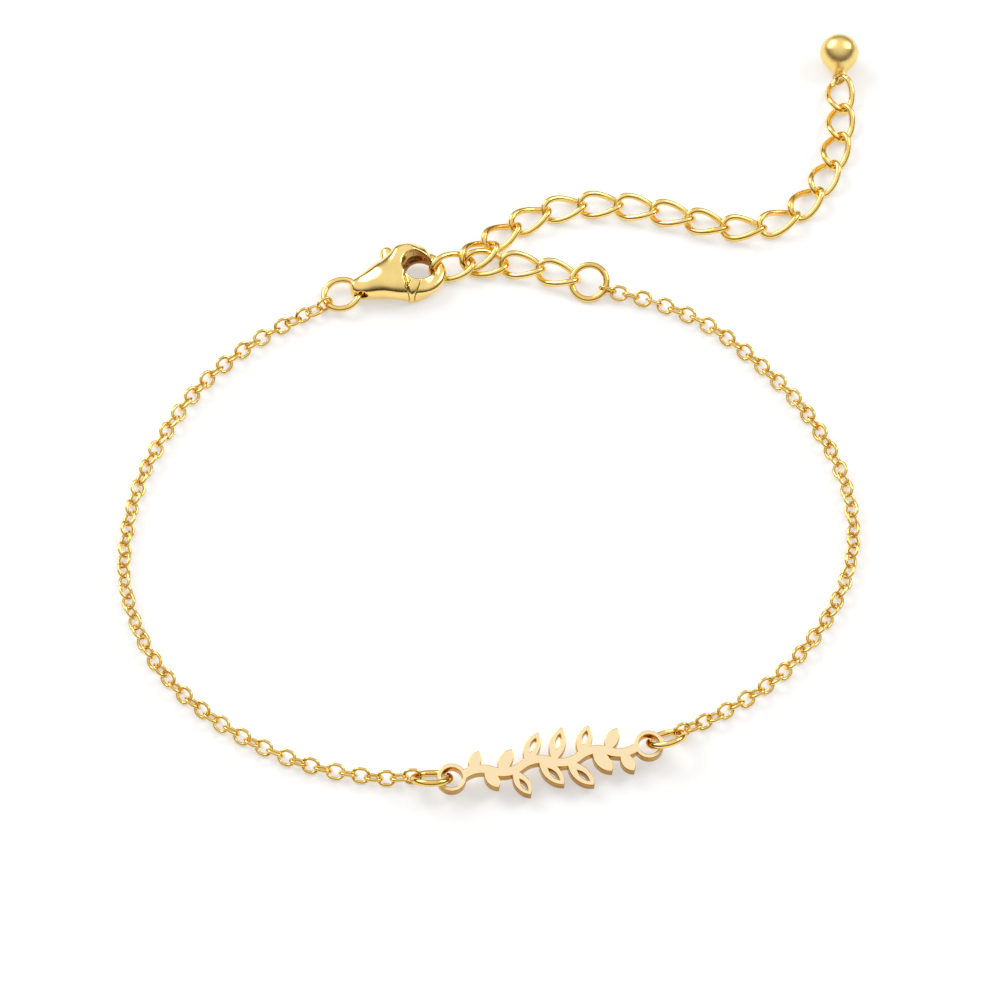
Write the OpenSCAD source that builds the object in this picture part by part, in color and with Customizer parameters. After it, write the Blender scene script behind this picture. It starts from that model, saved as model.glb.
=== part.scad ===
// Nameplate bracelet, lying clasped on a table: an openwork name bar between two stretches
// of fine cable chain, a lobster clasp, an extender of twisted curb links and a small drop.
// Millimetres, +Z up, the table is z = 0 and the box's middle is over the origin.

/* [Plate] */
// Distance between the centres of the two eyes
plate_span = 14.9; // [12:0.1:20]
// Thickness of the plate
plate_t = 0.85; // [0.6:0.05:1.2]
// Outer diameter of an eye
eye_d = 2.2; // [1.9:0.05:2.8]
// Hole of an eye
eye_hole = 1.55; // [1.3:0.05:1.9]
// Width of the vine's stem
stem_w = 0.7; // [0.4:0.02:0.9]
// Height of one wave of the stem
stem_wave = 0.6; // [0.2:0.05:0.8]
// Number of half waves of the stem
stem_waves = 6; // [4:1:8]
// Number of leaves, up and down in turn
leaf_count = 12; // [6:1:14]
// Length of the longest leaf
leaf_l = 2.8; // [2:0.1:3.4]
// Width of the widest leaf
leaf_w = 1.25; // [0.8:0.05:1.5]
// Width of the slit in an open leaf
leaf_slit = 0.36; // [0.2:0.02:0.5]

/* [Fine chain] */
// Wire of the fine links
fine_wire = 0.23; // [0.16:0.01:0.26]
// Outer width of a fine link
fine_w = 1.3; // [1.1:0.05:1.4]
// Distance from one fine link to the next
fine_pitch = 0.95; // [0.9:0.05:1.3]

/* [Extender] */
// Wire of the extender's links
ext_wire = 0.38; // [0.26:0.02:0.42]
// Outer width of an extender link
ext_w = 2.34; // [2:0.05:2.8]
// Distance from one extender link to the next
ext_pitch = 2.88; // [2.6:0.05:3.4]
// Number of extender links
ext_count = 19; // [8:1:24]
// Number of the link that the clasp is hooked into, counted from the end ring
hooked = 4; // [3:1:6]

/* [Rings] */
// Outer diameter of the four jump rings
ring_d = 3.2; // [2.8:0.1:4]
// Wire of the jump rings
ring_wire = 0.4; // [0.3:0.02:0.44]

/* [Clasp] */
// Length of the clasp
clasp_l = 7.8; // [7.2:0.1:9.5]
// Depth from the clasp's middle to its flat back
clasp_back = 0.95; // [0.8:0.01:1.2]
// Outer diameter of the hook's bow
hook_d = 4.1; // [3.8:0.05:5]
// Wire of the hook
hook_wire = 0.94; // [0.7:0.02:1.1]
// Diameter of the body around the rivet
body_d = 2.9; // [2.6:0.05:3.4]
// Distance from the middle of the bow back to the rivet
rivet_back = 2.45; // [2.3:0.05:2.6]
// Diameter of the rivet
rivet_d = 0.5; // [0.3:0.02:0.7]
// Diameter of the lever's hub
hub_d = 1.6; // [1.2:0.05:1.8]
// Thickness of the lever
lever_t = 0.8; // [0.6:0.02:1]
// Width of the tail
tail_w = 1; // [0.7:0.05:1.2]
// Height of the tail's round end
tail_d = 1.5; // [1.3:0.05:1.8]
// Hole in the tail
tail_hole = 0.9; // [0.8:0.02:1]

/* [Drop] */
// Diameter of the drop's round end
drop_d = 3; // [2.4:0.1:4]
// Length of the drop from the middle of its eye to its far end
drop_l = 3.5; // [3.3:0.1:5]
// Diameter of the drop's neck
neck_d = 1.1; // [0.7:0.05:1.3]
// Outer diameter of the drop's eye
drop_eye = 1.35; // [1.3:0.05:1.8]
// Wire of the drop's eye
drop_eye_wire = 0.34; // [0.2:0.02:0.36]

/* [Fits] */
// Gap between two wires that hook into each other
gap = 0.1; // [0.08:0.01:0.14]
// Play of the lever on its rivet and between the body's cheeks
play = 0.04; // [0.02:0.01:0.06]

/* [Hidden] */
$fn = 48;
// Side of a curb link's wire and its stations, both meshed
wire_sides = 6;
curb_stations = 16;

// Lay of the plate: middle of the bar, height of its top at the eyes, heading and tilt
plate_at = [4.1, -33.25];
plate_top = 1.6;
plate_yaw = 11.2;
plate_tilt = 12;
// Lay of the clasp: end of its tail and its heading
clasp_at = [-11.4, 10.55];
clasp_yaw = 16.7;
// Headings from the plate's eyes into the two chains
left_out = 167.5;
right_out = 35;

// Route of the chains: hand-chosen points between the ends that the sizes give
LEFT = [[-9.3, -34], [-14.8, -32.6], [-20.6, -29.2], [-25.3, -24.2], [-27.9, -17.6],
        [-28, -11.6], [-26.6, -5.6], [-23.3, 1], [-18.8, 5.8]];
RIGHT = [[12.5, 9.7], [16.7, 7.4], [20.7, 3.5], [24.2, -1.2], [26.7, -7.2],
         [27.2, -13.2], [25.5, -19], [21.7, -24.6], [17.5, -28]];
BASE = [[2, 13.2], [4.8, 12.4], [7.3, 11.4], [10, 10.4], [14, 9]];
TAIL = [[3.8, 18.4], [8.7, 19.2], [14.2, 18.2], [17.7, 17.1], [20.9, 17.05],
        [23.4, 18.3], [25.2, 20.4], [26.7, 23.4], [27.5, 27.2], [27.6, 31.2]];

ring_r = (ring_d - ring_wire) / 2;
fine_a = (fine_pitch + gap + fine_wire) / 2;
ext_gap = gap + 0.04;
ext_a = (ext_pitch + ext_gap + ext_wire) / 2;
ext_b = (ext_w - ext_wire) / 2;

// Routes
function heading(a) = [cos(a), sin(a)];
function aim(v) = atan2(v.y, v.x);
function turned(a, v) = [v.x * cos(a) - v.y * sin(a), v.x * sin(a) + v.y * cos(a)];

// A smooth curve through points, as a fine run of points
function bend(a, b, c, d, t) =
    (2 * b + (c - a) * t + (2 * a - 5 * b + 4 * c - d) * t * t
     + (3 * b - a - 3 * c + d) * t * t * t) / 2;
function trace(p, n = 24) =
    [for (i = [0 : len(p) - 2], k = [0 : n - 1])
        bend(i > 0 ? p[i - 1] : 2 * p[0] - p[1], p[i], p[i + 1],
             i + 2 < len(p) ? p[i + 2] : 2 * p[i + 1] - p[i], k / n),
     p[len(p) - 1]];
// The same run with its length so far: rows of [length, x, y]
function measured(p) =
    [for (i = 0, s = 0; i < len(p);
          s = s + (i + 1 < len(p) ? norm(p[i + 1] - p[i]) : 0), i = i + 1) [s, p[i].x, p[i].y]];
function total(m) = m[len(m) - 1][0];
function at(m, s) =
    let (n = len(m), over = s - total(m),
         last = [m[n - 1][1], m[n - 1][2]], before = [m[n - 2][1], m[n - 2][2]])
    over > 0 ? last + over * (last - before) / norm(last - before)
             : [lookup(s, [for (r = m) [r[0], r[1]]]), lookup(s, [for (r = m) [r[0], r[2]]])];
// Length at which the straight distance from the point at s has grown to d
function step_on(m, s, d) =
    let (c = norm(at(m, s + d) - at(m, s)), t = d * d / c,
         c2 = norm(at(m, s + t) - at(m, s))) s + t * d / c2;

// Lay of the pieces
// A place is [x, y, z, roll, pitch, yaw], and middle is where the whole lay has its middle
middle = [0.28, -0.27];
module placed(f)
    translate([f[0] - middle.x, f[1] - middle.y, f[2]]) rotate([f[3], f[4], f[5]]) children();

function eye_at(side) =
    plate_at + turned(plate_yaw, [side * plate_span / 2, 0]);
// A plate ring hangs in its eye with its outer end low, and leans towards the front
ring_lean = 41;
ring_pitch = 11.4;
function plate_ring_at(side) =
    let (out = side < 0 ? left_out : right_out,
         p = eye_at(side) + (ring_r + 0.1) * heading(out) + 0.13 * heading(out - side * 90))
    [p.x, p.y, ring_r * sin(ring_lean) + ring_wire / 2 + 0.03, -side * ring_lean, ring_pitch,
     out - side];
function first_left() = eye_at(-1) + link_out() * heading(left_out);
function last_right() = eye_at(1) + link_out() * heading(right_out);
function link_out() = 2 * ring_r + fine_a - (ring_wire + fine_wire) / 2 - gap - 0.02;

function clasp_point(x, y = 0) = clasp_at + turned(clasp_yaw, [x, y]);
clasp_z = clasp_back;
hook_r = (hook_d - hook_wire) / 2;
hook_x = clasp_l - hook_d / 2;
rivet_x = hook_x - rivet_back;
tail_x = tail_d / 2;
// The clasp's own ring runs from the tail's hole down to the last link
function clasp_ring_at() =
    let (high = clasp_z - 0.07, low = fine_rest(45) + 0.03, fall = asin((high - low) / (2 * ring_r)),
         p = clasp_point(tail_x - 0.05 - ring_r * cos(fall)))
    [p.x, p.y, (high + low) / 2, 0, -fall, clasp_yaw];
function last_left() = clasp_point(tail_x) - link_out() * heading(clasp_yaw + 10);

// The extender's hooked link and its neighbours, which the clasp crowds and lifts.  A row of
// CROWD is the lift above its rest, roll, pitch and heading of the link before the hooked
// one, of the hooked one, and of the two after it
CROWD = [[0, 19.5, 4.7, 1.5], [0.04, 30.5, 0, 15], [0.36, 9.5, 6.5, 41], [0.06, -1.5, 4.9, 42]];
hooked_xy = clasp_point(hook_x + hook_r - (hook_wire + ext_wire) / 2 - gap / 2)
    + ext_a * heading(CROWD[1][3]);
near_xy = hooked_xy + 0.927 * ext_pitch * heading(10.6);
free_xy = hooked_xy + 0.841 * ext_pitch * heading(30.4);
free_next = free_xy + 0.924 * ext_pitch * heading(48);
base_run = measured(trace(concat([near_xy], BASE)));
tail_run = measured(trace(concat([free_next], TAIL)));
base_s = [for (k = 0, s = 0; k < hooked - 1; s = step_on(base_run, s, ext_pitch + 0.03), k = k + 1) s];
tail_s = [for (k = 0, s = 0; k < ext_count - hooked - 1; s = step_on(tail_run, s, ext_pitch), k = k + 1) s];
function run_yaw(m, s, w) = aim(at(m, s + w) - at(m, max(s - w, 0)));

function lay(p, l) = [p.x, p.y, ext_rest(l[1], l[2]) + l[0], l[1], l[2], l[3]];
function ext_at(i) =
    i > hooked - 2 && i < hooked + 3
        ? lay([near_xy, hooked_xy, free_xy, free_next][i - hooked + 1], CROWD[i - hooked + 1])
        : let (on_base = i < hooked, s = on_base ? base_s[hooked - 1 - i] : tail_s[i - hooked - 2],
               m = on_base ? base_run : tail_run)
          lay(at(m, s), [0.01, 4 * sin(i * 50), 0, run_yaw(m, s, ext_pitch * 0.5)]);

// End ring beyond the extender's first link, lying with its far side up
function end_ring_at() =
    let (e = ext_at(1), p = [e.x, e.y]
             + (ext_a + ring_r * 0.98 - (ext_wire + ring_wire) / 2 - gap) * heading(e[5]))
    [p.x, p.y, ring_r * sin(23.5) + ring_wire / 2 + 0.02, 23.5, 4.8, e[5] - 10];
function first_right() =
    let (r = end_ring_at())
    [r.x, r.y] + (ring_r + fine_a - (ring_wire + fine_wire) / 2 - gap - 0.04) * heading(r[5] + 5);

// Height of a fine link's middle, and of a curb link's, when it rests on the table
function fine_rest(roll) = (fine_w - fine_wire) / 2 * abs(sin(roll)) + fine_wire / 2;
function ext_rest(roll, pitch) =
    ext_wire / 2
    - min([for (i = [0 : 71]) let (p = curb_point(i * 5))
           (p.y * sin(roll) + p.z * cos(roll)) * cos(pitch) - p.x * sin(pitch)]);

// The links of one stretch, rolled a quarter turn each with a little play.  The rolls at
// the two ends turn by start and finish degrees, and the end links are lifted to the rings
function chain_at(points, odd, start, finish, lifts) =
    let (m = measured(trace(points)), n = 2 * round((total(m) / fine_pitch - odd) / 2) + odd,
         p = total(m) / n)
    [for (i = [0 : n])
        let (q = at(m, i * p), yaw = run_yaw(m, i * p, p * 0.6),
             roll = -45 + 90 * (i % 2) + 6 * sin(i * 77) * min(1, i / 4, (n - i) / 4)
                 + start * max(0, min(1, (5 - i) / 4))
                 + finish * max(0, min(1, (5 - n + i) / 4)),
             lift = lifts[0] * max(0, 1 - i / 2) + lifts[1] * max(0, 1 - (n - i) / 2))
        [q.x, q.y, max(fine_rest(roll), fine_rest(45)) + lift, roll, 0, yaw]];
left_links = chain_at(concat([first_left()], LEFT, [last_left()]), 1, -10, 30, [0.11, 0]);
right_links = chain_at(concat([first_right()], RIGHT, [last_right()]), 0, -23, -14, [0.09, 0.14]);

// Wire forms
// Flat oval ring of round wire, longer along X
module oval_link(l, w, d) {
    rho = (w - d) / 2;
    flat = l - w;
    for (a = [0, 180]) rotate([0, 0, a]) {
        translate([flat / 2, 0, 0]) rotate([0, 0, -90]) rotate_extrude(angle = 180)
            translate([rho, 0]) circle(d = d);
        translate([-flat / 2, rho, 0]) rotate([0, 90, 0]) cylinder(d = d, h = flat);
    }
}

module wire_ring(outer, d)
    rotate_extrude() translate([(outer - d) / 2, 0]) circle(d = d);

// A curb link's middle line: an oval whose ends are turned 45 degrees either way
function curb_point(t) =
    let (r = ext_b * sin(t) * (1 + 0.25 * cos(t) * cos(t)), a = -45 * cos(t))
    [ext_a * cos(t), r * cos(a), r * sin(a)];
function unit(v) = v / norm(v);

module curb_link() {
    n = curb_stations;
    points = [for (i = [0 : n - 1])
        let (t = i * 360 / n, p = curb_point(t),
             along = unit(curb_point(t + 2) - curb_point(t - 2)),
             side = unit(cross(along, unit(p))), out = cross(side, along))
        for (k = [0 : wire_sides - 1])
            let (a = k * 360 / wire_sides)
            p + ext_wire / 2 * (cos(a) * out + sin(a) * side)];
    faces = [for (i = [0 : n - 1], k = [0 : wire_sides - 1])
        let (j = (i + 1) % n * wire_sides, m = (k + 1) % wire_sides, i = i * wire_sides)
        each [[i + k, j + k, j + m], [i + k, j + m, i + m]]];
    polyhedron(points, faces, convexity = 4);
}

// Plate
stem_l = plate_span - eye_d + 0.5;
function stem_arc() =
    let (c = stem_l / stem_waves, h = stem_wave / 2) (c * c / 4 + h * h) / (2 * h);
// Height of the stem's middle line at a place from -1 to 1 along the bar
function stem_y(u) =
    let (x = (u + 1) / 2 * stem_waves, k = min(floor(x), stem_waves - 1), c = stem_l / stem_waves,
         dx = (x - k - 0.5) * c, r = stem_arc(), s = k % 2 == 0 ? 1 : -1)
    s * (sqrt(r * r - dx * dx) - r + stem_wave / 2);

module stem() {
    c = stem_l / stem_waves;
    r = stem_arc();
    half = asin(c / (2 * r));
    for (k = [0 : stem_waves - 1]) {
        s = k % 2 == 0 ? 1 : -1;
        translate([-stem_l / 2 + (k + 0.5) * c, s * (stem_wave / 2 - r)]) intersection() {
            difference() {
                circle(r = r + stem_w / 2, $fn = 180);
                circle(r = r - stem_w / 2, $fn = 180);
            }
            polygon([[0, 0], for (e = [-1, 1]) 2 * r * [e * sin(half + 0.1), s * cos(half + 0.1)]]);
        }
    }
}

// Pointed leaf from the origin along X
module lens(l, w) {
    r = (l * l / 4 + w * w / 4) / w;
    intersection_for(s = [-1, 1]) translate([l / 2, s * (r - w / 2)]) circle(r = r, $fn = 120);
}

// The leaves grow towards the middle of the bar, and the large ones are open
function leaf_share(u) = 0.58 + 0.42 * pow(cos(90 * u), 2);
module leaf(share) difference() {
    lens(share * leaf_l, (0.4 + 0.6 * share) * leaf_w);
    if (share > 0.8) translate([share * leaf_l * 0.36, 0]) lens(share * leaf_l * 0.45, leaf_slit);
}

module plate() color([1, 0.87, 0.62]) {
    placed([plate_at.x, plate_at.y, plate_top, plate_tilt, 0, plate_yaw])
        translate([0, 0, -plate_t]) linear_extrude(plate_t) difference() {
            union() {
                stem();
                for (s = [-1, 1]) translate([s * plate_span / 2, 0]) circle(d = eye_d);
                for (k = [0 : leaf_count - 1])
                    let (u = -0.9 + 1.7 * k / (leaf_count - 1), up = k % 2 == 0 ? 1 : -1)
                    translate([u * stem_l / 2, stem_y(u)])
                        rotate(up * (60 + 7 * sin(k * 140))) leaf(leaf_share(u));
            }
            for (s = [-1, 1]) translate([s * plate_span / 2, 0]) circle(d = eye_hole);
        }
}

// Rings and chains
module plate_ring_left() color([0.95, 0.74, 0.36]) placed(plate_ring_at(-1)) wire_ring(ring_d, ring_wire);
module plate_ring_right() color([0.95, 0.74, 0.36]) placed(plate_ring_at(1)) wire_ring(ring_d, ring_wire);
module clasp_ring() color([0.95, 0.76, 0.4]) placed(clasp_ring_at()) wire_ring(ring_d, ring_wire);
module end_ring() color([0.95, 0.76, 0.4]) placed(end_ring_at()) wire_ring(ring_d, ring_wire);

module fine_chain(links) color([0.96, 0.78, 0.42])
    for (f = links) placed(f) oval_link(2 * fine_a + fine_wire, fine_w, fine_wire);
module chain_left() fine_chain(left_links);
module chain_right() fine_chain(right_links);

module extender_link(i) color([0.94, 0.77, 0.42]) placed(ext_at(i)) curb_link();

// Clasp
// Local frame: X from the tail's end to the bow, the gate on the -Y side, Z up from the middle
gate_reach = norm([hook_x - rivet_x + hook_r * cos(250), hook_r * sin(250)]);
slot_t = lever_t + 2 * play;
gate_wire = hook_wire - 0.12;

module in_clasp() placed([clasp_at.x, clasp_at.y, clasp_z, 0, 0, clasp_yaw]) children();
module bow(from, to, wire)
    translate([hook_x, 0, 0]) rotate([0, 0, from]) rotate_extrude(angle = to - from)
        translate([hook_r, 0]) circle(d = wire);
// Upright slice around the rivet, from one heading to another
module slice(from, to, r, h)
    translate([rivet_x, 0, -h / 2]) rotate([0, 0, from])
        rotate_extrude(angle = to - from) square([r, h]);

module clasp_body() color([0.93, 0.75, 0.38]) in_clasp() difference() {
    union() {
        intersection() {
            union() {
                translate([tail_x, 0, 0]) rotate([0, 90, 0])
                    cylinder(d1 = tail_w + 0.1, d2 = body_d + 0.2, h = rivet_x - tail_x);
                translate([rivet_x, 0, 0]) sphere(d = body_d);
                translate([tail_x, tail_w / 2, 0]) rotate([90, 0, 0]) cylinder(d = tail_d, h = tail_w);
            }
            translate([-1, -hook_d / 2, -clasp_back]) cube([clasp_l, hook_d, clasp_back + body_d]);
        }
        difference() {
            bow(-106, 160, hook_wire);
            // The bow's tip ends on a round about the rivet, so that the gate swings past it
            intersection() {
                translate([rivet_x, 0, -1]) cylinder(r = gate_reach + gap, h = 2);
                translate([rivet_x, -hook_d, -1]) cube([clasp_l, hook_d, 2]);
            }
        }
    }
    translate([tail_x, tail_w, 0]) rotate([90, 0, 0]) cylinder(d = tail_hole, h = 2 * tail_w);
    translate([rivet_x, 0, -body_d]) cylinder(d = rivet_d + play, h = 2 * body_d);
    translate([rivet_x, 0, -slot_t / 2]) cylinder(d = hub_d + 4 * play, h = slot_t);
    slice(-64, 24, body_d * 0.62, slot_t);
    slice(78, 156, body_d * 0.62, slot_t);
}

module clasp_lever() color([0.9, 0.72, 0.36]) in_clasp() difference() {
    union() {
        translate([rivet_x, 0, -lever_t / 2]) cylinder(d = hub_d, h = lever_t);
        intersection() {
            bow(190, 262, gate_wire);
            translate([rivet_x, 0, -lever_t / 2]) cylinder(r = gate_reach, h = lever_t);
        }
        translate([rivet_x, 0, 0]) rotate([0, 0, 105]) {
            rotate([0, 90, 0]) cylinder(d = lever_t * 0.8, h = body_d * 0.62);
            translate([body_d * 0.62, 0, 0]) sphere(d = lever_t);
        }
    }
    translate([rivet_x, 0, -lever_t]) cylinder(d = rivet_d + 2 * play, h = 2 * lever_t);
}

module clasp_pin() color([0.88, 0.7, 0.34]) in_clasp()
    translate([rivet_x, 0, 0.02 - clasp_back])
        cylinder(d = rivet_d, h = clasp_back + body_d / 2 - 0.04);

// Drop
// Local frame: X from the middle of the eye to the round end
module drop() color([0.93, 0.76, 0.42]) {
    e = ext_at(ext_count);
    ball_x = drop_l - drop_d / 2;
    eye_r = (drop_eye - drop_eye_wire) / 2;
    start = [e.x, e.y] + (ext_a + eye_r - (ext_wire + drop_eye_wire) / 2 - gap) * heading(e[5]);
    rise = asin((drop_d / 2 - e.z) / ball_x);
    dip = (drop_d - neck_d) / 2 / (ball_x - eye_r);
    neck_x = ball_x - drop_d / 2 * dip + 0.1;
    placed([start.x, start.y, e.z, 0, -rise, e[5]]) {
        rotate([45, 0, 0]) wire_ring(drop_eye, drop_eye_wire);
        translate([ball_x, 0, 0]) sphere(d = drop_d);
        translate([eye_r, 0, 0]) rotate([0, 90, 0])
            cylinder(d1 = neck_d, d2 = 2 * sqrt(drop_d * drop_d / 4 - pow(ball_x - neck_x, 2)) - 0.03,
                     h = neck_x - eye_r);
    }
}

// Nodes
function link_name(i) = str("extender_link_", i < 10 ? "0" : "", i);

plate();
plate_ring_left();
plate_ring_right();
chain_left();
chain_right();
clasp_ring();
clasp_body();
clasp_lever();
clasp_pin();
end_ring();
for (i = [1 : ext_count]) extender_link(i);
drop();
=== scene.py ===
"""Nameplate bracelet lying clasped on a table: its plate, chains, clasp and extender."""

import math

import bmesh
import bpy
import numpy as np
from bpy.props import FloatProperty, FloatVectorProperty, IntProperty, PointerProperty
from mathutils import Euler, Matrix, Vector


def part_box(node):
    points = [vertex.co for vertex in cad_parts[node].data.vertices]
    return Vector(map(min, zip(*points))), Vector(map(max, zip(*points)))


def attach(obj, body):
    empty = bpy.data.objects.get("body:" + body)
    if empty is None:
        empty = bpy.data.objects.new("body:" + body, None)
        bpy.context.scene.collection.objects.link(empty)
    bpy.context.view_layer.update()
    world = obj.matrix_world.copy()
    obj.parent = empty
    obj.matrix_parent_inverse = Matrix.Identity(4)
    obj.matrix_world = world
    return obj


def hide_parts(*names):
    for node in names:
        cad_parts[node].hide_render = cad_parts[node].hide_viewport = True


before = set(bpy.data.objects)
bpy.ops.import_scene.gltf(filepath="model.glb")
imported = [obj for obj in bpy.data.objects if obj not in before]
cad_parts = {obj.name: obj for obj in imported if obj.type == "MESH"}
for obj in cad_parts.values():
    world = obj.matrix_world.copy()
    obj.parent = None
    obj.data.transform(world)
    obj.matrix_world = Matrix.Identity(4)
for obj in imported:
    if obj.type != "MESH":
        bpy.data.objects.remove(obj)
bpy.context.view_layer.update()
MM = 0.001

bl_info = {
    "name": "Nameplate bracelet",
    "version": (1, 0, 0),
    "blender": (4, 5, 0),
    "location": "View3D > Sidebar > Bracelet",
    "description": "Links, rings, clasp, plate and drop of a fine gold bracelet",
    "category": "Object",
}


# Node trees, for materials and for geometry

class Value:
    """A socket that takes part in expressions: each operation adds its Math node."""

    def __init__(self, tree, socket):
        self.tree = tree
        self.socket = socket

    def maths(self, operation, *others):
        return self.tree.add("ShaderNodeMath", {"operation": operation}, self, *others)[0]

    def __add__(self, other):
        return self.maths("ADD", other)

    __radd__ = __add__

    def __sub__(self, other):
        return self.maths("SUBTRACT", other)

    def __rsub__(self, other):
        return (self * -1) + other

    def __mul__(self, other):
        return self.maths("MULTIPLY", other)

    __rmul__ = __mul__

    def __truediv__(self, other):
        return self.maths("DIVIDE", other)

    def cos(self):
        return self.maths("COSINE")

    def sin(self):
        return self.maths("SINE")

    def clamped(self):
        return self.maths("MINIMUM", 1.0).maths("MAXIMUM", 0.0)


class Tree:
    """Adds nodes to a material's, a world's or a geometry node tree."""

    def __init__(self, nodes_of):
        self.tree = nodes_of
        self.tree.nodes.clear()

    def add(self, kind, settings=None, *values, **named):
        """One node: its settings are set first, then its sockets, by order or by name."""
        node = self.tree.nodes.new(kind)
        for key, setting in (settings or {}).items():
            if key == "stops":
                self.set_stops(node.color_ramp, setting)
            else:
                setattr(node, key, setting)
        sockets = [(node.inputs[i], v) for i, v in enumerate(values) if v is not None]
        sockets += [(self.named_input(node, key), v) for key, v in named.items()]
        for socket, value in sockets:
            if isinstance(value, Value):
                self.tree.links.new(value.socket, socket)
            else:
                socket.default_value = value
        return [Value(self, output) for output in node.outputs if output.enabled]

    @staticmethod
    def named_input(node, key):
        name = key.replace("_", " ").lower()
        return next(s for s in node.inputs if s.name.lower() == name and s.enabled)

    @staticmethod
    def set_stops(ramp, stops):
        while len(ramp.elements) < len(stops):
            ramp.elements.new(1.0)
        for element, (place, colour) in zip(ramp.elements, stops):
            element.position = place
            element.color = (*colour, 1.0)


# Finishes

class Finish(Tree):
    """A material in the making, with the pattern pieces that several finishes share."""

    def __init__(self, name):
        self.material = bpy.data.materials.new(name)
        self.material.use_nodes = True
        super().__init__(self.material.node_tree)
        self.place = self.add("ShaderNodeTexCoord")[3]

    def turned(self, angles, scale=(1, 1, 1)):
        turn = self.add("ShaderNodeMapping", None, self.place, Rotation=Euler(angles))
        return self.add("ShaderNodeVectorMath", {"operation": "MULTIPLY"}, turn[0], scale)[0]

    def noise(self, size, detail=3.0, roughness=0.55, at=None):
        """Soft noise from 0 to 1 whose blots are about size metres across."""
        settings = {"noise_dimensions": "3D"}
        return self.add("ShaderNodeTexNoise", settings, Vector=at or self.place,
                        Scale=1 / size, Detail=detail, Roughness=roughness)[0]

    def scratches(self, size, width, at=None):
        """Thin random lines: 1 on a line, 0 between them."""
        cells = self.add("ShaderNodeTexVoronoi", {"feature": "DISTANCE_TO_EDGE"},
                         Vector=at or self.place, Scale=1 / size)[0]
        return 1 - (cells / width).clamped()

    def blend(self, share, first, second):
        return self.add("ShaderNodeMix", {"data_type": "RGBA"}, Factor=share,
                        A=(*first, 1) if isinstance(first, tuple) else first,
                        B=(*second, 1) if isinstance(second, tuple) else second)[0]

    def surface(self, colour, roughness, height=None, depth=1e-6, **constants):
        shader = self.tree.nodes.new("ShaderNodeBsdfPrincipled")
        out = self.tree.nodes.new("ShaderNodeOutputMaterial")
        self.tree.links.new(shader.outputs[0], out.inputs[0])
        links = {"Base Color": colour, "Roughness": roughness}
        if height:
            links["Normal"] = self.add("ShaderNodeBump", None, Distance=depth, Height=height)[0]
        for key, value in {**links, **constants}.items():
            socket = shader.inputs[key]
            if isinstance(value, Value):
                self.tree.links.new(value.socket, socket)
            else:
                socket.default_value = value
        return self.material


def polished_gold(name, tint, shade, roughness, wave, painted_shade_patch=None):
    """Bright plated metal: hand-polished waves, hairline scratches and a breath of tarnish.

    The optional patch is a place, a radius and a colour: inside it the metal is darkened with
    painted shade.
    """
    f = Finish(name)
    tone = f.add("ShaderNodeAttribute", {"attribute_name": "tone"})[2]
    blot = f.noise(1.6 * MM, 4.0)
    fine = f.noise(0.12 * MM, 2.0)
    lines = f.scratches(0.5 * MM, 0.03, f.turned((0.4, 0.9, 0.2), (1, 1, 0.35)))
    share = (blot * 0.9 + tone * 0.35 - 0.25).clamped()
    colour = f.blend(share, tint, shade)
    if painted_shade_patch:
        middle, radius, painted_shade_colour = painted_shade_patch
        flat = f.add("ShaderNodeVectorMath", {"operation": "MULTIPLY"}, f.place, (1, 1, 0))[0]
        reach = f.add("ShaderNodeVectorMath", {"operation": "DISTANCE"}, flat,
                      (middle[0], middle[1], 0))[0]
        # painted shade: full inside the patch's radius, fading out over a noisy edge
        inside = ((radius - reach) / (0.16 * MM) + blot * 0.8 - 0.4).clamped()
        colour = f.blend(inside * 0.85, colour, painted_shade_colour)
    rough = roughness * (0.7 + blot * 0.5) + fine * 0.05 + lines * 0.1
    height = f.noise(wave, 2.0) + fine * 0.05 - lines * 0.03
    return f.surface(colour, rough, height, wave * 0.012, Metallic=1.0)


def satin_face(name, tint, shade):
    """The plate's top: fine blasted grain, with a few soft handling marks."""
    f = Finish(name)
    grain = f.noise(0.06 * MM, 3.0, 0.7)
    cloud = f.noise(2.2 * MM, 3.0)
    marks = f.scratches(2.4 * MM, 0.006, f.turned((0.1, 0.3, 1.0), (1, 0.5, 1)))
    colour = f.blend((cloud * 0.8 + grain * 0.3 - 0.1).clamped(), tint, shade)
    rough = 0.34 + grain * 0.16 - marks * 0.12 + cloud * 0.05
    return f.surface(colour, rough, grain - marks * 0.4, 2e-6, Metallic=1.0)


def cut_wall(name, tint, shade, bottom, top):
    """The plate's sawn and polished edges: upright drag lines, with painted shade that darkens
    them towards the table.
    """
    f = Finish(name)
    drag = f.noise(0.09 * MM, 3.0, 0.6, f.turned((0, 0, 0), (1, 1, 0.12)))
    cloud = f.noise(1.1 * MM, 2.0)
    up = f.add("ShaderNodeSeparateXYZ", None, f.place)[2]
    # painted shade: nought at the top of the wall, one at the table
    low = 1 - (up - bottom) / (top - bottom)
    # noise and height blend the wall towards its painted shade colour
    colour = f.blend((cloud * 0.7 + drag * 0.4 + low * 1.1 - 0.6).clamped(), tint, shade)
    rough = 0.12 + drag * 0.14
    return f.surface(colour, rough, drag, 5e-6, Metallic=1.0)


def table_top(name, colour):
    """Smooth pale card lit from below, with a grain too fine to catch the eye."""
    f = Finish(name)
    grain = f.noise(0.4 * MM, 3.0)
    tone = f.blend(f.noise(40 * MM, 2.0), colour, tuple(c * 0.99 for c in colour))
    return f.surface(tone, 0.8 + grain * 0.1, grain, 4e-6,
                     **{"Emission Color": (1, 1, 1, 1), "Emission Strength": 0.4})


# Shapes

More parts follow.
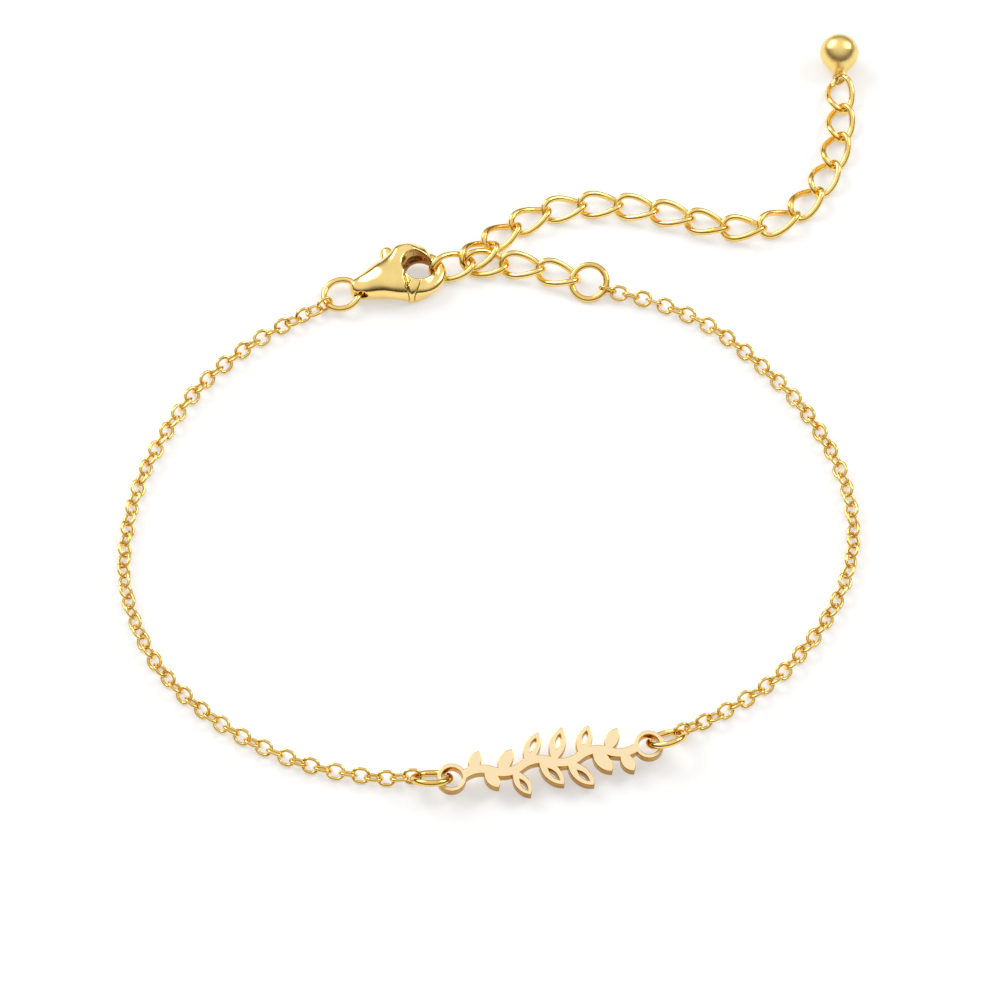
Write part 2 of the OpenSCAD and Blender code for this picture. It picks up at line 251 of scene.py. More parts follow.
def corners(node):
    """A CAD node's triangles with shared corners merged: points, and three numbers a row."""
    form = bmesh.new()
    form.from_mesh(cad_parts[node].data)
    bmesh.ops.remove_doubles(form, verts=form.verts, dist=0.001 * MM)
    bmesh.ops.triangulate(form, faces=form.faces)
    form.verts.index_update()
    points = np.array([v.co[:] for v in form.verts])
    rows = np.array([[v.index for v in f.verts] for f in form.faces])
    form.free()
    return points, rows


def solids(node):
    """The loose solids of a CAD node, each as its triangles' corner points."""
    points, rows = corners(node)
    label = np.arange(len(points))
    while True:
        low = label[rows].min(axis=1)
        lower = label.copy()
        np.minimum.at(lower, rows, low[:, None])
        lower = lower[lower]
        if (lower == label).all():
            break
        label = lower
    of_row = label[rows[:, 0]]
    return [points[rows[of_row == k]] for k in np.unique(of_row)]


def place_of(triangles):
    """Where a link lies: its middle, and its turn with X along it and Z across its plane."""
    middles = triangles.mean(axis=1)
    sides = np.cross(triangles[:, 1] - triangles[:, 0], triangles[:, 2] - triangles[:, 0])
    weight = np.linalg.norm(sides, axis=1)
    centre = (middles * weight[:, None]).sum(axis=0) / weight.sum()
    spread = (middles - centre).T @ ((middles - centre) * weight[:, None])
    axes = np.linalg.eigh(spread)[1][:, ::-1]
    axes[:, 2] = np.cross(axes[:, 0], axes[:, 1])
    return centre, Matrix(axes.tolist()).to_euler()


def in_order(places):
    """Places sorted along the chain, from one end to the nearest next."""
    left = sorted(places, key=lambda p: p[0][0])
    chain = [left.pop()]
    while left:
        here = chain[-1][0]
        chain.append(left.pop(int(np.argmin([np.sum((p[0] - here) ** 2) for p in left]))))
    return chain


def places_mesh(name, places):
    mesh = bpy.data.meshes.new(name)
    mesh.from_pydata([p[0].tolist() for p in places], [], [])
    turn = mesh.attributes.new("turn", "FLOAT_VECTOR", "POINT")
    turn.data.foreach_set("vector", np.array([list(p[1]) for p in places]).ravel())
    return mesh


def linked(name, mesh):
    piece = bpy.data.objects.new(name, mesh)
    bpy.context.scene.collection.objects.link(piece)
    return piece


class Growth(Tree):
    """A geometry node tree that puts one wire form on every place."""

    def __init__(self, name, sizes):
        self.group = bpy.data.node_groups.new(name, "GeometryNodeTree")
        super().__init__(self.group)
        faces = self.group.interface
        faces.new_socket("Places", in_out="INPUT", socket_type="NodeSocketGeometry")
        for key in sizes:
            kind = "NodeSocketInt" if key in ("Sides", "Stations", "Seed") else "NodeSocketFloat"
            faces.new_socket(key, in_out="INPUT", socket_type=kind)
        faces.new_socket("Material", in_out="INPUT", socket_type="NodeSocketMaterial")
        faces.new_socket("Links", in_out="OUTPUT", socket_type="NodeSocketGeometry")
        names = ["Places", *sizes, "Material"]
        self.given = dict(zip(names, self.add("NodeGroupInput")))

    def swept(self, path, caps=False):
        """Round wire along a path."""
        given = self.given
        ring = self.add("GeometryNodeCurvePrimitiveCircle", None, Resolution=given["Sides"],
                        Radius=given["Wire"] / 2)[0]
        return self.add("GeometryNodeCurveToMesh", None, Curve=path, Profile_Curve=ring,
                        Fill_Caps=caps)[0]

    def finished(self, form):
        """Sets the form on every place, gives each its own tone, and closes the tree."""
        given = self.given
        smooth = self.add("GeometryNodeSetShadeSmooth", None, form)[0]
        turn = self.add("GeometryNodeInputNamedAttribute", {"data_type": "FLOAT_VECTOR"},
                        Name="turn")[0]
        turned = self.add("FunctionNodeEulerToRotation", None, turn)[0]
        many = self.add("GeometryNodeInstanceOnPoints", None, Points=given["Places"],
                        Instance=smooth, Rotation=turned)[0]
        tone = self.add("FunctionNodeRandomValue", {"data_type": "FLOAT"},
                        Seed=given["Seed"])[0]
        toned = self.add("GeometryNodeStoreNamedAttribute",
                         {"data_type": "FLOAT", "domain": "INSTANCE"},
                         Geometry=many, Name="tone", Value=tone)[0]
        real = self.add("GeometryNodeRealizeInstances", None, toned)[0]
        clad = self.add("GeometryNodeSetMaterial", None, Geometry=real,
                        Material=given["Material"])[0]
        self.add("NodeGroupOutput", None, clad)
        return self.group


def oval_link_tree():
    g = Growth("Oval links", ["Wire", "Width", "Length", "Sides", "Stations", "Seed"])
    wire, width, length = g.given["Wire"], g.given["Width"], g.given["Length"]
    frame_line = g.add("GeometryNodeCurvePrimitiveQuadrilateral", {"mode": "RECTANGLE"},
                       Width=length - wire, Height=width - wire)[0]
    line = g.add("GeometryNodeFilletCurve", {"mode": "POLY"}, Curve=frame_line,
                 Count=g.given["Stations"], Radius=(width - wire) / 2 * 0.999)[0]
    return g.finished(g.swept(line))


def curb_link_tree():
    g = Growth("Curb links", ["Wire", "Width", "Length", "Fullness", "Twist", "Sides",
                              "Stations", "Seed"])
    wire, width, length = g.given["Wire"], g.given["Width"], g.given["Length"]
    circle = g.add("GeometryNodeCurvePrimitiveCircle", None, Resolution=g.given["Stations"],
                   Radius=1.0)[0]
    share = g.add("GeometryNodeSplineParameter")[0]
    angle = share * (2 * math.pi)
    along = angle.cos()
    reach = (width - wire) / 2 * angle.sin() * (1 + g.given["Fullness"] * along * along)
    lean = g.given["Twist"] * along * -1
    point = g.add("ShaderNodeCombineXYZ", None, (length - wire) / 2 * along,
                  reach * lean.cos(), reach * lean.sin())[0]
    line = g.add("GeometryNodeSetPosition", None, Geometry=circle, Position=point)[0]
    return g.finished(g.swept(line))


def split_ring_tree():
    g = Growth("Split rings", ["Wire", "Width", "Slit", "Sides", "Stations", "Seed"])
    radius = (g.given["Width"] - g.given["Wire"]) / 2
    slit = g.given["Slit"] / radius
    line = g.add("GeometryNodeCurveArc", {"mode": "RADIUS"}, Resolution=g.given["Stations"],
                 Radius=radius, Start_Angle=slit / 2, Sweep_Angle=2 * math.pi - slit)[0]
    return g.finished(g.swept(line, True))


def grown(name, places, tree, **inputs):
    """Runs a geometry node tree on places and keeps its result as a plain mesh."""
    piece = linked(name, places_mesh(name, places))
    modifier = piece.modifiers.new("links", "NODES")
    modifier.node_group = tree
    for item in tree.interface.items_tree:
        if item.in_out == "INPUT" and item.name in inputs:
            modifier[item.identifier] = inputs[item.name]
    bpy.context.view_layer.update()
    result = bpy.data.meshes.new_from_object(piece.evaluated_get(
        bpy.context.evaluated_depsgraph_get()))
    piece.modifiers.clear()
    piece.data = result
    return piece


def skin(field, low, high, step):
    """The closed surface on which a distance field is zero: its points and four-sided faces."""
    axes = [np.arange(a, b, step) for a, b in zip(low, high)]
    depth = field(*np.meshgrid(*axes, indexing="ij"))
    inside = depth < 0
    cell = np.full(depth.shape, -1)
    edges = []
    for axis in range(3):
        near, far = (np.delete(np.arange(depth.shape[axis]), end) for end in (-1, 0))
        change = inside.take(near, axis) != inside.take(far, axis)
        at = np.argwhere(change)
        first, second = depth.take(near, axis)[change], depth.take(far, axis)[change]
        point = at.astype(float)
        point[:, axis] += first / (first - second)
        unit = np.eye(3, dtype=int)
        b, c = unit[(axis + 1) % 3], unit[(axis + 2) % 3]
        around = np.stack([at, at - b, at - b - c, at - c], axis=1)
        around[first > 0] = around[first > 0][:, ::-1]
        edges.append((point, around))
    points = np.concatenate([point for point, _ in edges])
    around = np.concatenate([cells for _, cells in edges])
    used, faces = np.unique(np.ravel_multi_index(around.reshape(-1, 3).T, cell.shape),
                            return_inverse=True)
    faces = faces.reshape(-1, 4)
    total = np.zeros((len(used), 3))
    for k in range(4):
        np.add.at(total, faces[:, k], points)
    count = np.bincount(faces.ravel(), minlength=len(used))
    return np.array(low) + total / count[:, None] * step, faces


def both(a, b, round_by=0.02):
    """What two distance fields have in common, with its inner corner rounded."""
    share = np.clip(0.5 - 0.5 * (b - a) / round_by, 0, 1)
    return b * (1 - share) + a * share + round_by * share * (1 - share)


def either(a, b, round_by=0.02):
    return -both(-a, -b, round_by)


def less(a, b, round_by=0.02):
    return both(a, -b, round_by)


def round_cone(along, across, start, end, r_start, r_end):
    """Distance to a cone with round ends: along its axis, and across from it."""
    share = np.clip((along - start) / (end - start), 0, 1)
    return np.hypot(along - start - share * (end - start), across) \
        - (r_start + share * (r_end - r_start))


def wedge(x, y, first, last):
    """Distance outside a wedge between two headings in degrees."""
    a, b = math.radians(first), math.radians(last)
    return np.maximum(x * math.sin(a) - y * math.cos(a), y * math.cos(b) - x * math.sin(b))


def arc_wire(x, y, z, radius, first, last, thickness):
    """Distance to a round wire bent about the origin, from one heading in degrees to another."""
    heading = np.degrees(np.arctan2(y, x))
    middle = (first + last) / 2
    heading = middle + (heading - middle + 180) % 360 - 180
    turn = np.radians(np.clip(heading, first, last))
    gap = np.sqrt((x - radius * np.cos(turn)) ** 2 + (y - radius * np.sin(turn)) ** 2 + z ** 2)
    return gap - thickness


def ease(value, start, end):
    share = np.clip((value - start) / (end - start), 0, 1)
    return share * share * (3 - 2 * share)


def cast(name, field, low, high, step, place, material):
    """A piece as it comes from the mould, in millimetres in its own frame, set in its place."""
    points, faces = skin(field, low, high, step)
    mesh = bpy.data.meshes.new(name)
    mesh.from_pydata(points.tolist(), [], faces.tolist())
    mesh.transform(place @ Matrix.Scale(MM, 4))
    mesh.materials.append(material)
    mesh.polygons.foreach_set("use_smooth", [True] * len(faces))
    return linked(name, mesh)


def rounded_plate(node, edge, steps):
    """A flat cut-out with rounded rims, rebuilt from the triangles of its CAD top face."""
    points, rows = corners(node)
    first, second, third = (points[rows[:, k]] for k in range(3))
    sides = np.cross(second - first, third - first)
    widest = sides[np.argmax(np.linalg.norm(sides, axis=1))]
    up = widest / np.linalg.norm(widest) * (1 if widest[2] > 0 else -1)
    height = points @ up
    thick = height.max() - height.min()
    top = rows[(height[rows] > height.max() - thick * 0.01).all(axis=1)]
    used, top = np.unique(top, return_inverse=True)
    top = top.reshape(-1, 3)
    flat = points[used]

    after = rim_of(top)
    before = {b: a for a, b in after.items()}
    rim = sorted(after)
    row_of = {v: i for i, v in enumerate(rim)}
    ahead = flat[[after[v] for v in rim]] - flat[rim]
    behind = flat[rim] - flat[[before[v] for v in rim]]
    out_a, out_b = (np.cross(d / np.linalg.norm(d, axis=1)[:, None], up) for d in (ahead, behind))
    outward = (out_a + out_b) / np.maximum(1 + (out_a * out_b).sum(axis=1), 0.5)[:, None]

    rings = []
    for k in range(steps + 1):
        turn = math.pi / 2 * k / steps
        rings.append((1 - math.sin(turn), 1 - math.cos(turn)))
    levels = [(inset, drop * edge) for inset, drop in rings]
    levels += [(inset, thick - drop * edge) for inset, drop in reversed(rings)]
    layers = [flat[rim] - outward * edge * inset - up * drop for inset, drop in levels]

    inner = np.array([v not in row_of for v in range(len(flat))])
    spare = np.cumsum(inner) - 1
    count = len(rim)
    starts = {0: 0, len(layers) - 1: (len(layers) - 1) * count}
    base = len(layers) * count

    def number(v, level):
        if v in row_of:
            return starts[level] + row_of[v]
        return base + (0 if level == 0 else int(inner.sum())) + int(spare[v])

    last = len(layers) - 1
    faces = [[number(v, 0) for v in t] for t in top.tolist()]
    faces += [[number(v, last) for v in reversed(t)] for t in top.tolist()]
    flats = len(faces)
    for k in range(last):
        for v in rim:
            a, b = row_of[v] + k * count, row_of[after[v]] + k * count
            faces.append([a, a + count, b + count, b])
    spots = np.concatenate(layers + [flat[inner], flat[inner] - up * thick])
    mesh = bpy.data.meshes.new(node)
    mesh.from_pydata(spots.tolist(), [], faces)
    for face in mesh.polygons:
        face.material_index = 0 if face.index < flats else 1
        face.use_smooth = face.index >= flats
    mesh.set_sharp_from_angle(angle=math.radians(40))
    ends = (range(0, count), range(last * count, base))
    for line in mesh.edges:
        if any(v in end for end in ends for v in line.vertices[:1]) and \
                any(v in end for end in ends for v in line.vertices[1:]):
            line.use_edge_sharp = True
    return linked(node, mesh)


def rim_of(triangles):
    """Each rim corner of a patch of triangles with the next one along its rim."""
    steps = {(a, b) for t in triangles.tolist() for a, b in zip(t, t[1:] + t[:1])}
    return {a: b for a, b in steps if (b, a) not in steps}


def dress(piece, name, body, slot, *nodes):
    piece.name = name
    piece.data.name = name
    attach(piece, body)
    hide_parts(*nodes)
    return piece


# Sizes and colours

class FineChainSizes(bpy.types.PropertyGroup):
    wire: FloatProperty(name="Wire", description="Thickness of a fine link's wire",
                        default=0.255 * MM, unit="LENGTH", precision=6)
    width: FloatProperty(name="Width", description="Outer width of a fine link",
                         default=1.3 * MM, unit="LENGTH", precision=6)
    length: FloatProperty(name="Length", description="Outer length of a fine link",
                          default=1.51 * MM, unit="LENGTH", precision=6)
    seed: IntProperty(name="Seed", description="Of the links' differences in tone", default=3)


class ExtenderSizes(bpy.types.PropertyGroup):
    wire: FloatProperty(name="Wire", description="Thickness of a curb link's wire",
                        default=0.5 * MM, unit="LENGTH", precision=6)
    width: FloatProperty(name="Width", description="Outer width of a curb link",
                         default=2.42 * MM, unit="LENGTH", precision=6)
    length: FloatProperty(name="Length", description="Outer length of a curb link",
                          default=3.84 * MM, unit="LENGTH", precision=6)
    fullness: FloatProperty(name="Fullness", description="How square the link's shoulders are",
                            default=0.25)
    twist: FloatProperty(name="Twist", description="Turn of each end of a curb link",
                         default=math.radians(45), subtype="ANGLE")
    seed: IntProperty(name="Seed", description="Of the links' differences in tone", default=8)


class RingSizes(bpy.types.PropertyGroup):
    wire: FloatProperty(name="Wire", description="Thickness of a jump ring's wire",
                        default=0.51 * MM, unit="LENGTH", precision=6)
    width: FloatProperty(name="Diameter", description="Outer diameter of a jump ring",
                         default=3.27 * MM, unit="LENGTH", precision=6)
    slit: FloatProperty(name="Slit", description="Width of the closed saw cut",
                        default=0.008 * MM, unit="LENGTH", precision=6)


class ClaspSizes(bpy.types.PropertyGroup):
    heading: FloatProperty(name="Heading", description="Direction in which the clasp lies",
                           default=math.radians(16.7), subtype="ANGLE")
    height: FloatProperty(name="Height", description="The clasp's middle over the table",
                          default=0.95 * MM, unit="LENGTH", precision=6)
    top: FloatProperty(name="Top", description="The body's top over its middle",
                       default=1.5 * MM, unit="LENGTH", precision=6)
    arms: FloatProperty(name="Arms", description="Width over the hook's two arms",
                        default=4.44 * MM, unit="LENGTH", precision=6)
    bow: FloatProperty(name="Bow", description="Outer diameter of the hook's bow",
                       default=4.1 * MM, unit="LENGTH", precision=6)
    bow_at: FloatProperty(name="Bow's place", description="From the rivet to the bow's middle",
                          default=2.45 * MM, unit="LENGTH", precision=6)
    wire: FloatProperty(name="Wire", description="Thickness of the hook where a link hangs in it",
                        default=0.94 * MM, unit="LENGTH", precision=6)
    lug: FloatProperty(name="Lug's heading", description="Direction of the lever's thumb lug",
                       default=math.radians(80), subtype="ANGLE")
    lug_reach: FloatProperty(name="Lug's reach", description="From the rivet to the lug's knob",
                             default=2.65 * MM, unit="LENGTH", precision=6)


class DropSizes(bpy.types.PropertyGroup):
    diameter: FloatProperty(name="Diameter", description="Width of the drop's round end",
                            default=3.0 * MM, unit="LENGTH", precision=6)
    length: FloatProperty(name="Length", description="From the middle of its eye to its far end",
                          default=3.5 * MM, unit="LENGTH", precision=6)


class PlateSizes(bpy.types.PropertyGroup):
    edge: FloatProperty(name="Edge", description="Width of the rounded edge",
                        default=0.05 * MM, unit="LENGTH", precision=6)


class Colours(bpy.types.PropertyGroup):
    bright: FloatVectorProperty(name="Gold", description="Polished metal in the light",
                                default=(1.0, 0.765, 0.31), subtype="COLOR", min=0, max=1)
    warm: FloatVectorProperty(name="Deep gold", description="Polished metal in the hollows",
                              default=(0.9, 0.56, 0.09), subtype="COLOR", min=0, max=1)
    face: FloatVectorProperty(name="Plate", description="The plate's satin face",
                              default=(0.97, 0.78, 0.49), subtype="COLOR", min=0, max=1)
    wall: FloatVectorProperty(name="Cut wall", description="The plate's sawn edges",
                              default=(0.86, 0.5, 0.04), subtype="COLOR", min=0, max=1)
    # Painted shade: the dark red-brown of the walls' painted shade, also mixed into the small
    # parts' deep gold
    painted_shade_brown: FloatVectorProperty(name="Scorch", description="Darker heat marks on the sawn edges",
                                default=(0.3, 0.1, 0.005), subtype="COLOR", min=0, max=1)
    table: FloatVectorProperty(name="Table", description="The floor under the bracelet",
                               default=(0.6, 0.6, 0.6), subtype="COLOR", min=0, max=1)


SIZE_GROUPS = {
    "bracelet_fine": FineChainSizes,
    "bracelet_extender": ExtenderSizes,
    "bracelet_rings": RingSizes,
    "bracelet_clasp": ClaspSizes,
    "bracelet_drop": DropSizes,
    "bracelet_plate": PlateSizes,
    "bracelet_colours": Colours,
}


def gold_for(name, roughness, wave, depth=0.0, painted_shade_patch=None):
    """The bracelet's gold; depth from 0 to 1 makes a darker copy of the same gold, as painted
    shade.
    """
    colours = bpy.context.scene.bracelet_colours
    # painted shade: with depth both tones slide towards darker, browner gold
    bright = Vector(colours.bright).lerp(Vector(colours.warm), depth * 0.5)
    warm = Vector(colours.warm).lerp(Vector(colours.painted_shade_brown), depth * 0.6)
    return polished_gold(name, tuple(bright), tuple(warm), roughness, wave, painted_shade_patch)


# Pieces

class BRACELET_OT_fine_chain(bpy.types.Operator):
    """Grow the two stretches of fine cable chain"""

    bl_idname = "bracelet.fine_chain"
    bl_label = "Fine chain"

    def execute(self, context):
        sizes = context.scene.bracelet_fine
        tree = oval_link_tree()
        # painted shade: the fine chain's gold is darkened by depth 0.4
        gold = gold_for("fine_chain_gold", 0.07, 0.5 * MM, 0.4)
        for node in ("chain_left", "chain_right"):
            places = in_order([place_of(t) for t in solids(node)])
            piece = grown(node + "_links", places, tree, Wire=sizes.wire, Width=sizes.width,
                          Length=sizes.length, Sides=12, Stations=10, Seed=sizes.seed,
                          Material=gold)
            dress(piece, node + "_links", "bracelet", "fine_chain", node)
        return {"FINISHED"}


class BRACELET_OT_extender(bpy.types.Operator):
    """Grow the extender's twisted curb links"""

    bl_idname = "bracelet.extender"
    bl_label = "Extender"

    def execute(self, context):
        sizes = context.scene.bracelet_extender
        nodes = sorted(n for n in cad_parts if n.startswith("extender_link_"))
        places = [place_of(solids(n)[0]) for n in nodes]
        piece = grown("extender_links", places, curb_link_tree(), Wire=sizes.wire,
                      Width=sizes.width, Length=sizes.length, Fullness=sizes.fullness,
                      Twist=sizes.twist, Sides=16, Stations=72, Seed=sizes.seed,
                      Material=gold_for("extender_gold", 0.14, 0.8 * MM))
        dress(piece, "extender_links", "bracelet", "extender", *nodes)
        return {"FINISHED"}


class BRACELET_OT_rings(bpy.types.Operator):
    """Grow the four round jump rings"""

    bl_idname = "bracelet.rings"
    bl_label = "Jump rings"

    def execute(self, context):
        sizes = context.scene.bracelet_rings
        tree = split_ring_tree()
        # painted shade: the rings' gold is darkened by depth 0.3
        gold = gold_for("ring_gold", 0.09, 0.9 * MM, 0.3)
        for number, node in enumerate(("plate_ring_left", "plate_ring_right", "clasp_ring",
                                       "end_ring")):
            piece = grown(node + "_wire", [place_of(solids(node)[0])], tree, Wire=sizes.wire,
                          Width=sizes.width, Slit=sizes.slit, Sides=20, Stations=96,
                          Seed=number, Material=gold)
            dress(piece, node + "_wire", "bracelet", "rings", node)
        return {"FINISHED"}


def clasp_place(heading, height):
    """The clasp's own frame: its origin on the rivet, X towards the bow, Z up."""
    low, high = (Vector(c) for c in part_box("clasp_pin"))
    middle = (low + high) / 2
    return Matrix.Translation((middle.x, middle.y, height)) @ Matrix.Rotation(heading, 4, "Z")


class BRACELET_OT_clasp(bpy.types.Operator):
    """Cast the clasp's body, lever and rivet"""

    bl_idname = "bracelet.clasp"
    bl_label = "Clasp"

    def execute(self, context):
        sizes = context.scene.bracelet_clasp
        back, top = sizes.height / MM, sizes.top / MM
        arm = sizes.arms / 2 / MM
        bow_at = sizes.bow_at / MM
        bow = (sizes.bow - sizes.wire) / 2 / MM
        wire = sizes.wire / 2 / MM
        tip = math.hypot(bow_at + bow * math.cos(math.radians(250)),
                         bow * math.sin(math.radians(250)))
        lug = math.degrees(sizes.lug)
        arms_shift, fork_at, fork_taper, hook_hole = 0.2, 1.04, 0.38, 1.2
        slot, boss_room, mouth_from, gate_from = 0.44, 0.96, 1.7, 1.73
        tail_hole_at, tail_hole, ring_room = 2.55, 0.45, 0.34

        def palm(x, y, z):
            """The body and the hook's deep arms, before the fork is cut into them.

            Each ease runs between two stations along the clasp, in millimetres from the rivet.
            """
            away = y - arms_shift * ease(x, -0.5, 1.5)
            width = arm - fork_taper * np.maximum(fork_at - x, 0)
            width = width * (1 - np.clip((x - 1.6) / 2.95, 0, 0.98) ** 2) ** 0.5
            height = (top + back) / 2 * (0.68 + 0.32 * ease(x, -2.9, -0.4))
            height = height * (1 - 0.6 * ease(x, 1.8, 4.0))
            middle = (top - back) / 2 * ease(x, -2.6, -0.6) * (1 - ease(x, 1.8, 3.8))
            roll = 0.16 * ease(x, -0.5, 1.2)
            step = 0.34 * ease(x, 0.75, 1.2) * (1 - ease(y, -0.9, 0.4)) * (1 - ease(x, 1.8, 3.2))
            tall = z - middle - roll * away + step
            power = 2.2 + 0.8 * ease(x, 0.2, 1.4)
            round_off = (np.abs(away) / width) ** power + (np.abs(tall) / height) ** power
            form = (round_off ** (1 / power) - 1) * np.minimum(width, height) * 0.95
            crease = (x + 0.3 * y - 0.15) * 0.1 + (tall + middle - top + 0.02 - step)
            form = both(form, crease, 0.04)
            form = both(form, -3.25 - x, 0.4)
            form = both(form, x - bow_at - 1.1, 0.3)
            return less(form, np.hypot(x - bow_at + 0.15, y - arms_shift) - hook_hole, 0.2)

        place = clasp_place(sizes.heading, sizes.height)
        centre, turn = place_of(solids("clasp_ring")[0])
        flip = (Matrix.Translation(Vector(centre)) @ turn.to_matrix().to_4x4()).inverted() @ place
        ring_radius = 1.4

        def ring_path(x, y, z):
            """Distance to the middle line of the ring that hangs in the tail."""
            u, v, w = (r[0] * x + r[1] * y + r[2] * z + r[3] / MM
                       for r in flip[:3])
            return np.hypot(np.hypot(u, v) - ring_radius, w)

        def bow_wire(x, y, z, first, last):
            return arc_wire(x - bow_at, y, z, bow, first, last, wire)

        def body_form(x, y, z):
            reach = np.hypot(x, y)
            form = either(palm(x, y, z), bow_wire(x, y, z, -106, 160), 0.2)
            mouth = np.maximum(wedge(x, y, -64, 8), mouth_from - reach)
            form = less(form, np.maximum(mouth, reach - tip - 0.03), 0.04)
            form = both(form, -z - back, 0.2)
            form = less(form, np.hypot(x + tail_hole_at, z) - tail_hole, 0.12)
            form = less(form, ring_path(x, y, z) - ring_room, 0.1)
            for first, last, far in ((-64, 24, tip), (lug - 28, lug + 52, 2.8)):
                cut = np.maximum(np.maximum(wedge(x, y, first, last), reach - far),
                                 np.abs(z) - slot)
                form = less(form, cut, 0.06)
            return less(form, np.maximum(reach - boss_room, np.abs(z) - slot), 0.06)

        def lever_form(x, y, z):
            reach = np.hypot(x, y)
            gate = both(palm(x, y, z), wedge(x, y, -63.4, -10), 0.04)
            gate = both(both(gate, y, 0.08), -z - back + 0.02, 0.1)
            gate = both(gate, np.maximum(gate_from - reach, reach - tip), 0.04)
            web = both(bow_wire(x, y, z, 190, 262), reach - tip, 0.05)
            form = either(np.maximum(np.minimum(reach - 0.8, web), np.abs(z) - 0.4), gate, 0.05)
            turn = math.radians(lug)
            along = x * math.cos(turn) + y * math.sin(turn)
            side = y * math.cos(turn) - x * math.sin(turn)
            stalk = round_cone(along, np.hypot(side, z), 0.6, sizes.lug_reach / MM, 0.46, 0.54)
            return either(form, stalk, 0.12)

        def pin_form(x, y, z):
            return both(np.hypot(x, y) - 0.25,
                        np.abs(z - (top - back) / 2) - (top + back) / 2 + 0.03, 0.1)

        # Painted shade: a dark red-brown patch round the middle of the hook's mouth darkens its
        # inner walls.
        middle = place @ Vector((bow_at * MM, arms_shift * MM, 0))
        mouth_shade_colour = (0.26, 0.07, 0.006)
        gold = gold_for("clasp_gold", 0.14, 1.6 * MM, 0, (middle, 1.3 * MM, mouth_shade_colour))
        body = cast("clasp_casting", body_form, (-3.5, -2.4, -1.1), (4.7, 2.4, 1.7), 0.05,
                    place, gold)
        dress(body, "clasp_casting", "bracelet", "clasp", "clasp_body")
        lever = cast("clasp_thumb_lever", lever_form, (-1.3, -2.4, -1.1), (2.9, 3.4, 1.5), 0.04,
                     place, gold)
        dress(lever, "clasp_thumb_lever", "lever", "clasp", "clasp_lever")
        pin = cast("clasp_rivet", pin_form, (-0.4, -0.4, -1.1), (0.4, 0.4, 1.7), 0.025,
                   place, gold)
        dress(pin, "clasp_rivet", "bracelet", "clasp", "clasp_pin")
        return {"FINISHED"}


class BRACELET_OT_drop(bpy.types.Operator):
    """Cast the small teardrop at the free end"""

    bl_idname = "bracelet.drop"
    bl_label = "Drop"

    def execute(self, context):
        sizes = context.scene.bracelet_drop
        ball = sizes.diameter / 2 / MM
        far = sizes.length / MM - ball
        low, high = (Vector(c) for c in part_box("drop"))
        middle = Vector(((low.x + high.x) / 2, high.y - ball * MM, ball * MM))
        last = max(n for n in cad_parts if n.startswith("extender_link_"))
        link = Vector(place_of(solids(last)[0])[0])
        along = middle - link
        along.z = 0
        along = along.normalized() * math.sqrt(1 - ((ball - link.z / MM) / far) ** 2)
        along.z = (ball - link.z / MM) / far
        turn = along.to_track_quat("X", "Z").to_matrix().to_4x4()
        place = Matrix.Translation(middle - along * far * MM) @ turn

        def form(x, y, z):
            across = np.hypot(y, z)
            body = either(np.hypot(x - far, across) - ball,
                          round_cone(x, across, 0.85, far, 0.42, ball * 0.7), 0.9)
            side, up = (y - z) / math.sqrt(2), (y + z) / math.sqrt(2)
            eye = np.hypot(np.hypot(x, side) - 0.505, up) - 0.18
            return either(body, both(eye, x - 0.45, 0.1), 0.12)

        drop = cast("teardrop", form, (-0.9, -1.7, -1.7), (3.8, 1.7, 1.7), 0.05, place,
                    gold_for("drop_gold", 0.3, 2.2 * MM))
        dress(drop, "teardrop", "bracelet", "drop", "drop")
        return {"FINISHED"}


class BRACELET_OT_plate(bpy.types.Operator):
    """Round the openwork plate's edges, and finish its face and walls"""

    bl_idname = "bracelet.plate"
    bl_label = "Plate"

    def execute(self, context):
        colours = context.scene.bracelet_colours
        piece = rounded_plate("plate", context.scene.bracelet_plate.edge, 3)
        piece.data.materials.append(satin_face("plate_face", tuple(colours.face),
                                               tuple(c * 0.94 for c in colours.face)))
        low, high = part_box("plate")
        # the walls blend from their gold towards the painted shade brown
        piece.data.materials.append(cut_wall("plate_wall", tuple(colours.wall),
                                             tuple(colours.painted_shade_brown), low[2], high[2]))
        dress(piece, "vine_plate", "bracelet", "plate", "plate")
        return {"FINISHED"}


# Stage

def soft_light(name, place, size, power):
    """A square soft box that looks at the middle of the table."""
    data = bpy.data.lights.new(name, "AREA")
    data.shape = "SQUARE"
    data.size = size
    data.energy = power
    lamp = linked(name, data)
    lamp.location = place
    lamp.rotation_euler = (-Vector(place)).to_track_quat("-Z", "Y").to_euler()
    return lamp


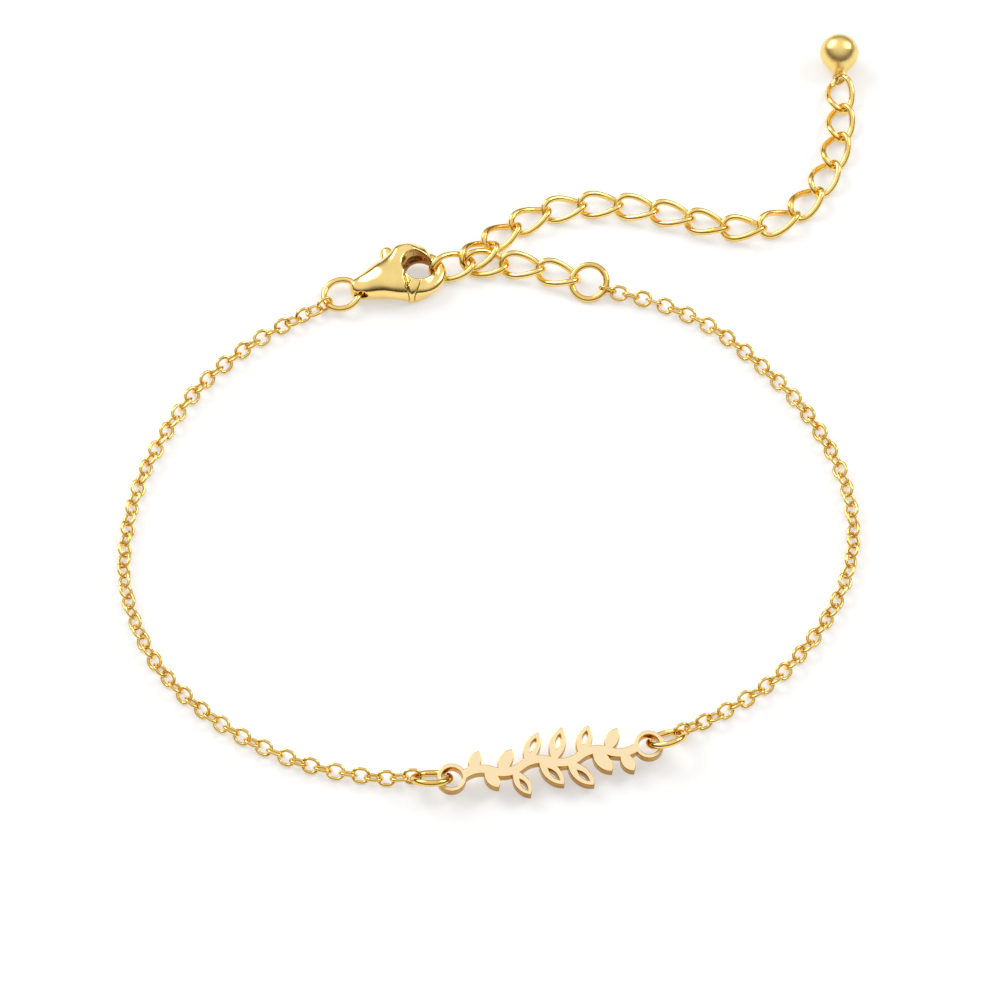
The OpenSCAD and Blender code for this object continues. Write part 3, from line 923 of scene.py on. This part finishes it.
class BRACELET_OT_stage(bpy.types.Operator):
    """Lay the pale floor, and set the soft lights and the camera"""

    bl_idname = "bracelet.stage"
    bl_label = "Stage"

    def execute(self, context):
        scene = context.scene
        mesh = bpy.data.meshes.new("floor")
        reach = 3.0
        mesh.from_pydata([(-reach, -reach, 0), (reach, -reach, 0), (reach, reach, 0),
                          (-reach, reach, 0)], [], [(0, 1, 2, 3)])
        floor = linked("floor", mesh)
        floor.location.z = -0.002 * MM
        mesh.materials.append(table_top("floor_card", tuple(scene.bracelet_colours.table)))

        world = bpy.data.worlds.new("studio")
        world.use_nodes = True
        sky = Tree(world.node_tree)
        way = sky.add("ShaderNodeTexCoord")[0]
        north, up = (sky.add("ShaderNodeSeparateXYZ", None, way)[k] for k in (1, 2))
        shade = sky.add("ShaderNodeValToRGB",
                        {"stops": [(0.0, (0.04, 0.02, 0.01)), (0.16, (0.06, 0.035, 0.02)),
                                   (0.42, (0.36, 0.34, 0.32)), (0.64, (0.78, 0.77, 0.76)),
                                   (0.9, (0.92, 0.92, 0.92))]}, up + north * 0.12)[0]
        glow = sky.add("ShaderNodeBackground", None, Color=shade, Strength=1.0)[0]
        sky.add("ShaderNodeOutputWorld", None, glow)
        scene.world = world

        soft_light("left_box", (-0.5, 0.45, 0.5), 0.5, 3.2)
        soft_light("right_box", (0.55, 0.25, 0.5), 0.35, 1.6)

        camera = bpy.data.cameras.new("camera")
        camera.lens = 216
        camera.sensor_width = 36
        camera.clip_start = 0.01
        eye = linked("camera", camera)
        eye.location = Vector((0.07, -269.24, 378.0)) * MM
        aim = Vector((0.07, -8.44, 0.0)) * MM
        eye.rotation_euler = (aim - eye.location).to_track_quat("-Z", "Y").to_euler()
        scene.camera = eye
        scene.view_settings.view_transform = "Standard"
        return {"FINISHED"}


class BRACELET_PT_panel(bpy.types.Panel):
    """The bracelet's sizes, colours and pieces"""

    bl_idname = "BRACELET_PT_panel"
    bl_label = "Bracelet"
    bl_space_type = "VIEW_3D"
    bl_region_type = "UI"
    bl_category = "Bracelet"

    def draw(self, context):
        for key, group in SIZE_GROUPS.items():
            box = self.layout.box()
            for name in group.__annotations__:
                box.prop(getattr(context.scene, key), name)
        for operator in OPERATORS:
            self.layout.operator(operator.bl_idname)


OPERATORS = (
    BRACELET_OT_fine_chain,
    BRACELET_OT_extender,
    BRACELET_OT_rings,
    BRACELET_OT_clasp,
    BRACELET_OT_drop,
    BRACELET_OT_plate,
    BRACELET_OT_stage,
)


def register():
    for key, group in SIZE_GROUPS.items():
        bpy.utils.register_class(group)
        setattr(bpy.types.Scene, key, PointerProperty(type=group))
    for operator in OPERATORS:
        bpy.utils.register_class(operator)
    bpy.utils.register_class(BRACELET_PT_panel)


def unregister():
    bpy.utils.unregister_class(BRACELET_PT_panel)
    for operator in reversed(OPERATORS):
        bpy.utils.unregister_class(operator)
    for key, group in reversed(SIZE_GROUPS.items()):
        delattr(bpy.types.Scene, key)
        bpy.utils.unregister_class(group)


def main():
    register()
    for operator in OPERATORS:
        group, name = operator.bl_idname.split(".")
        getattr(getattr(bpy.ops, group), name)()


if __name__ == "__main__":
    main()
